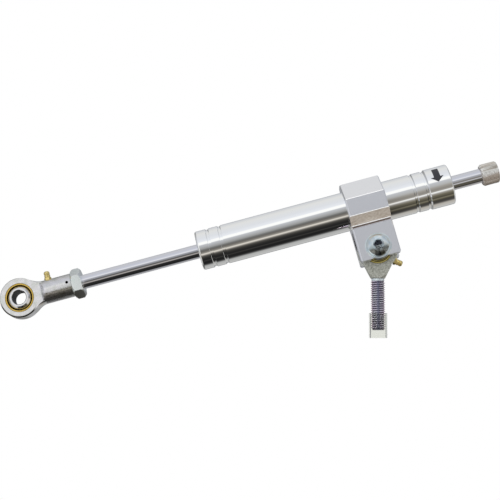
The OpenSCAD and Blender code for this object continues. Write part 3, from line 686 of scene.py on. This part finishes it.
def cast_steel():
    """The stud's body: dull and grainy, as cast."""
    made = material("cast_steel", linear(170, 172, 160), 0.6, 0.42)
    stains = noise(made, 0.9, detail=5.0, roughness=0.7)
    vary_colour(made, stains, linear(150, 152, 140), linear(222, 224, 216))
    vary_roughness(made, noise(made, 0.9), 0.34, 0.5)
    bump(made, noise(made, 1.4, detail=4.0), 0.08, 0.8)
    return made


def thread_steel():
    """Zinc with a violet tinge, darkened in the thread's roots by oxide and painted shade, with painted
    reflections across it, and bright on the plain collar.
    """
    made = material("thread_steel", linear(236, 232, 244), 0.55, 0.26)
    vary_colour(made, noise(made, 0.25, detail=2.0), linear(228, 216, 240), linear(238, 242, 250))
    tree = made.node_tree
    out = radial(made, STUD_JOINT, STUD_WAY)
    side = size(tree, along(made, STUD_JOINT, STUD_SIDE))
    # The roots darkened: their oxide, and painted shade
    tint(made, mapped(tree, out, *THREAD_ROOT, 0, ROOT_OXIDE_AND_SHADE), linear(58, 52, 70))
    # Painted reflection: pink towards the sides and dark blue in the middle
    tint(made, mapped(tree, side, *THREAD_SIDE, 0, SIDE_REFLECTION, smooth=True), linear(198, 158, 178))
    tint(made, mapped(tree, side, *THREAD_MIDDLE, 0, MIDDLE_REFLECTION, smooth=True), linear(128, 132, 158))
    down = along(made, STUD_JOINT, STUD_WAY)
    tint(made, below(tree, down, (THREAD_FROM + COLLAR_L) / MM), linear(226, 236, 242))
    return made


def brass(name, colour, roughness):
    made = material(name, colour, 1.0, roughness)
    vary_roughness(made, noise(made, 1.4), roughness * 0.8, roughness * 1.3)
    return made


def race_brass(name, colour, origin, axis, liner):
    """Brass on the ring's face, with painted shade on the liner beside the ball and a painted dark line at the
    ring's outer edge.
    """
    made = brass(name, colour, 0.2)
    tree = made.node_tree
    out = radial(made, origin, axis)
    # Painted shade inside the liner's radius, beside the ball
    tint(made, below(tree, out, liner), linear(46, 42, 36))
    # Painted shade in the stake groove at the ring's edge
    tint(made, mapped(tree, out, *RACE_EDGE, smooth=True), linear(90, 72, 30))
    return made


def rod_chrome():
    """Chrome, with painted shade where the rod is inside the shank and shows through the witness hole."""
    made = material("rod_chrome", linear(221, 222, 230), 1.0, 0.02)
    vary_roughness(made, noise(made, 0.1), 0.015, 0.03)
    # Painted shade on the rod inside the shank
    tint(made, below(made.node_tree, along(made, ORIGIN, X_AXIS), SHANK_END), linear(8, 8, 8))
    return made


def knob_aluminium():
    """Dull aluminium with faint streaks along the knurl, and a painted warm reflection below."""
    made = material("knob_aluminium", linear(222, 222, 220), 0.6, 0.36)
    grain = noise(made, 0.5, (0.05, 1, 1))
    vary_colour(made, grain, linear(180, 174, 166), linear(236, 236, 234), KNOB_STREAKS)
    high = along(made, ORIGIN, Z_AXIS)
    # Painted warm reflection on the lower side
    low = mapped(made.node_tree, high, *KNOB_REFLECTION, 0, KNOB_FULL, smooth=True)
    tint(made, low, linear(214, 192, 174))
    return made


def clear_plastic():
    return material("clear_plastic", linear(238, 239, 235), 0.0, 0.0, Transmission_Weight=1.0, IOR=1.1)


def black_rubber():
    made = material("black_rubber", linear(28, 28, 30), 0.0, 0.6)
    bump(made, noise(made, 4.0), 0.01, 0.5)
    return made


def printed_black():
    return material("printed_black", linear(34, 35, 42), 0.0, 0.5)


def turned_steel():
    made = material("turned_steel", linear(190, 191, 194), 1.0, 0.3)
    vary_roughness(made, noise(made, 1.0, (8, 1, 1)), 0.24, 0.38)
    return made


def dress(made, *names):
    """Gives CAD nodes a material in place of their own."""
    for name in names:
        slots = NODES[name].data.materials
        slots.clear()
        slots.append(made)


def dress_all():
    dress(polished_aluminium(), "barrel_tube", "front_cap", "rear_cap")
    dress(satin_aluminium(), "clamp_block")
    dress(zinc_plate(), "clevis_bolt", "bolt_washer")
    dress(ball_steel(), "stud_ball", "rod_eye_ball")
    dress(eye_steel(), "rod_eye")
    dress(nut_steel(), "rod_jam_nut")
    dress(cast_steel(), "stud_rod_end")
    eye_brass = race_brass("rod_eye_brass", linear(222, 190, 100), ORIGIN, Y_AXIS, LINER_R)
    dress(eye_brass, "rod_eye_race")
    stud_brass = race_brass("stud_brass", linear(228, 212, 136), STUD_JOINT, STUD_FACE, STUD_LINER_R)
    dress(stud_brass, "stud_race")
    dress(brass("nipple_brass", linear(232, 212, 144), 0.09), "stud_nipple", "rod_eye_nipple")
    dress(brass("bush_bronze", linear(176, 132, 84), 0.35), "front_bush", "rear_bush")
    dress(rod_chrome(), "piston_rod")
    dress(knob_aluminium(), "adjuster_knob")
    dress(clear_plastic(), "thread_cover")
    dress(black_rubber(), "front_seal", "front_wiper", "front_oring", "rear_seal", "rear_wiper",
          "rear_oring", "shaft_oring", "piston_ring")
    dress(turned_steel(), "piston", "piston_clips", "adjuster_shaft", "adjuster_needle", "knob_screw")


# Pieces

WELD_AT = 0.002 * MM
FLAT_WITHIN = math.radians(0.4)
BEVEL_FROM = math.radians(28)
SHARP_FROM = math.radians(30)

# The pieces whose edges are rounded, and how wide, in millimetres
SOFT_EDGES = [("clamp_block", 0.45), ("rod_eye", 0.5), ("rod_jam_nut", 0.3), ("bolt_washer", 0.2)]
STUD_EDGE = 0.5


def soften(shown, width_mm):
    """Rounds an object's sharp edges with modifiers, leaving its mesh as it is."""
    weld = shown.modifiers.new("weld", "WELD")
    weld.merge_threshold = WELD_AT
    flat = shown.modifiers.new("flat", "DECIMATE")
    flat.decimate_type = "DISSOLVE"
    flat.angle_limit = FLAT_WITHIN
    bevel = shown.modifiers.new("bevel", "BEVEL")
    bevel.width = width_mm * MM
    bevel.segments = 2
    bevel.limit_method = "ANGLE"
    bevel.angle_limit = BEVEL_FROM
    shown.modifiers.new("normals", "WEIGHTED_NORMAL").keep_sharp = True


def new_piece(name, body, points, faces, made):
    """A mesh in the row frame, in metres, that rides on a body."""
    mesh = bpy.data.meshes.new(name)
    mesh.from_pydata(points, [], faces)
    mesh.materials.append(made)
    mesh.update()
    mesh.shade_smooth()
    mesh.set_sharp_from_angle(angle=SHARP_FROM)
    piece = bpy.data.objects.new(name, mesh)
    bpy.context.scene.collection.objects.link(piece)
    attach(piece, body)
    return piece


def stud_point(length, radius, turn):
    """A point round the stud, length down from its ball."""
    out = STUD_SIDE * math.cos(turn) + STUD_FACE * math.sin(turn)
    return STUD_JOINT + STUD_WAY * length + out * radius


def joined(rows, first):
    """Faces between rows of points of equal length, which start at index first."""
    width = len(rows[0])
    return [
        (first + row * width + column, first + row * width + column + 1,
         first + (row + 1) * width + column + 1, first + (row + 1) * width + column)
        for row in range(len(rows) - 1) for column in range(width - 1)
    ]


def turned_rows(profile):
    """Rings round the stud from (length, radius) pairs."""
    turns = [math.tau * column / THREAD_COLUMNS for column in range(THREAD_COLUMNS + 1)]
    return [[stud_point(length, radius, turn) for turn in turns] for length, radius in profile]


def thread_rows(start, end):
    """Helical rows along the thread's crest and root edges, trimmed to its run-in and tip."""
    rows = []
    for turn in range(-1, math.ceil((end - start) / PITCH)):
        for part, radius in THREAD_PROFILE:
            row = []
            for column in range(THREAD_COLUMNS + 1):
                round_part = column / THREAD_COLUMNS
                length = start + (turn + part + round_part) * PITCH
                length = min(max(length, start), end)
                widest = min(COLLAR_R + length - start, THREAD_R - TIP_BEVEL + end - length)
                row.append(stud_point(length, min(radius, widest), math.tau * round_part))
            rows.append(row)
    return rows


def add_thread():
    """The stud's helical thread, below its plain collar, with a bevelled tip."""
    start = THREAD_FROM + COLLAR_L
    end = THREAD_FROM + THREAD_L
    tip_r = THREAD_R - TIP_BEVEL
    points = []
    faces = []
    for rows in (
        turned_rows([
            (THREAD_FROM - COLLAR_IN, COLLAR_R), (start, COLLAR_R), (start, ROOT_R * ROOT_INSET)
        ]),
        thread_rows(start, end),
        turned_rows([(end, tip_r), (end, 0)]),
    ):
        faces += joined(rows, len(points))
        points += [point for row in rows for point in row]
    thread = new_piece("stud_thread", "stud", points, faces, thread_steel())
    tidy(thread)
    return thread


def tidy(piece):
    """Merges a mesh's seams and turns its faces outwards."""
    mesh = bmesh.new()
    mesh.from_mesh(piece.data)
    bmesh.ops.remove_doubles(mesh, verts=mesh.verts, dist=SEAM)
    bmesh.ops.dissolve_degenerate(mesh, edges=mesh.edges, dist=SEAM)
    bmesh.ops.recalc_face_normals(mesh, faces=mesh.faces)
    mesh.to_mesh(piece.data)
    mesh.free()
    piece.data.shade_smooth()
    piece.data.set_sharp_from_angle(angle=SHARP_FROM)


def add_stud_body():
    """The stud's eye and neck, without the rings that stand for its thread."""
    body = bpy.data.objects.new("stud_body", NODES["stud_rod_end"].data.copy())
    bpy.context.scene.collection.objects.link(body)
    mesh = bmesh.new()
    mesh.from_mesh(body.data)
    thread = [
        face for face in mesh.faces
        if (face.calc_center_median() - STUD_JOINT).dot(STUD_WAY) > THREAD_FROM - EDGE
    ]
    bmesh.ops.delete(mesh, geom=thread, context="FACES")
    mesh.to_mesh(body.data)
    mesh.free()
    soften(body, STUD_EDGE)
    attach(body, "stud")
    return body


def steps(first, last, count):
    return [first + (last - first) * index / count for index in range(count + 1)]


def cap_point(x, turn, radius):
    """A point on the rear cap, turned up from its front."""
    return Vector((x, -math.cos(turn) * radius, math.sin(turn) * radius))


def add_arrow():
    """The arrow printed on the rear cap, following its curve."""
    middle = REAR_CAP_END - ARROW_IN
    radius = REAR_CAP_R + ARROW_PROUD
    points = []
    faces = []
    shaft = [
        (turn, ARROW_SHAFT_W / 2)
        for turn in steps(ARROW_TOP, ARROW_NECK, ARROW_SHAFT_ROWS)
    ]
    head = [
        (turn, ARROW_HEAD_W / 2 * (turn - ARROW_POINT) / (ARROW_NECK - ARROW_POINT))
        for turn in steps(ARROW_NECK, ARROW_POINT, ARROW_HEAD_ROWS)
    ]
    for outline in (shaft, head):
        rows = [
            [cap_point(middle + side * half, math.radians(turn), radius) for side in (-1, 1)]
            for turn, half in outline
        ]
        faces += joined(rows, len(points))
        points += [point for row in rows for point in row]
    new_piece("arrow", "barrel", points, faces, printed_black())


def add_pieces():
    thread = add_thread()
    body = add_stud_body()
    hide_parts("stud_rod_end")
    add_arrow()
    for name, width in SOFT_EDGES:
        soften(NODES[name], width)


# Stage, in metres and watts

FLOOR_Z = -0.32
FLOOR_SIZE = 8.0
FLOOR_FADE = (0.4, 1.6)
KEY_PLACE = (-0.2, -0.7, 1.1)
KEY_SIZE = (1.0, 0.7)
KEY_POWER = 9.0


def add_floor():
    """A pale floor under the object that runs into the white background."""
    mesh = bpy.data.meshes.new("floor")
    half = FLOOR_SIZE / 2
    middle = centre("barrel_tube").x
    mesh.from_pydata(
        [(middle + x * half, y * half, FLOOR_Z) for x, y in ((-1, -1), (1, -1), (1, 1), (-1, 1))],
        [], [(0, 1, 2, 3)],
    )
    floor = bpy.data.objects.new("floor", mesh)
    bpy.context.scene.collection.objects.link(floor)
    floor.visible_glossy = False
    floor.visible_diffuse = False
    floor.visible_transmission = False
    made = material("floor", linear(246, 246, 246), 0.0, 0.9)
    tree = made.node_tree
    output = tree.nodes["Material Output"]
    coordinates = tree.nodes.new("ShaderNodeTexCoord").outputs["Object"]
    away = tree.nodes.new("ShaderNodeVectorMath")
    away.operation = "DISTANCE"
    link(tree, coordinates, away.inputs[0])
    away.inputs[1].default_value = (middle, 0, FLOOR_Z)
    far = mapped(tree, away.outputs["Value"], *FLOOR_FADE, smooth=True)
    path = tree.nodes.new("ShaderNodeLightPath")
    white = tree.nodes.new("ShaderNodeEmission")
    mix = tree.nodes.new("ShaderNodeMixShader")
    link(tree, times(tree, far, path.outputs["Is Camera Ray"]), mix.inputs[0])
    link(tree, shader_of(made).outputs[0], mix.inputs[1])
    link(tree, white.outputs[0], mix.inputs[2])
    under = tree.nodes.new("ShaderNodeMixShader")
    link(tree, tree.nodes.new("ShaderNodeNewGeometry").outputs["Backfacing"], under.inputs[0])
    link(tree, mix.outputs[0], under.inputs[1])
    link(tree, tree.nodes.new("ShaderNodeBsdfTransparent").outputs[0], under.inputs[2])
    link(tree, under.outputs[0], output.inputs["Surface"])
    mesh.materials.append(made)


def add_light(name, place, aim, sides, power):
    data = bpy.data.lights.new(name, "AREA")
    data.shape = "RECTANGLE"
    data.size, data.size_y = sides
    data.energy = power
    light = bpy.data.objects.new(name, data)
    light.location = place
    light.rotation_mode = "QUATERNION"
    light.rotation_quaternion = (Vector(place) - Vector(aim)).to_track_quat("Z", "Y")
    light.visible_glossy = False
    light.visible_camera = False
    bpy.context.scene.collection.objects.link(light)


bpy.context.scene.view_settings.view_transform = "Standard"
add_camera()
add_world()
add_floor()
add_light("key", KEY_PLACE, centre("barrel_tube"), KEY_SIZE, KEY_POWER)
dress_all()
add_pieces()
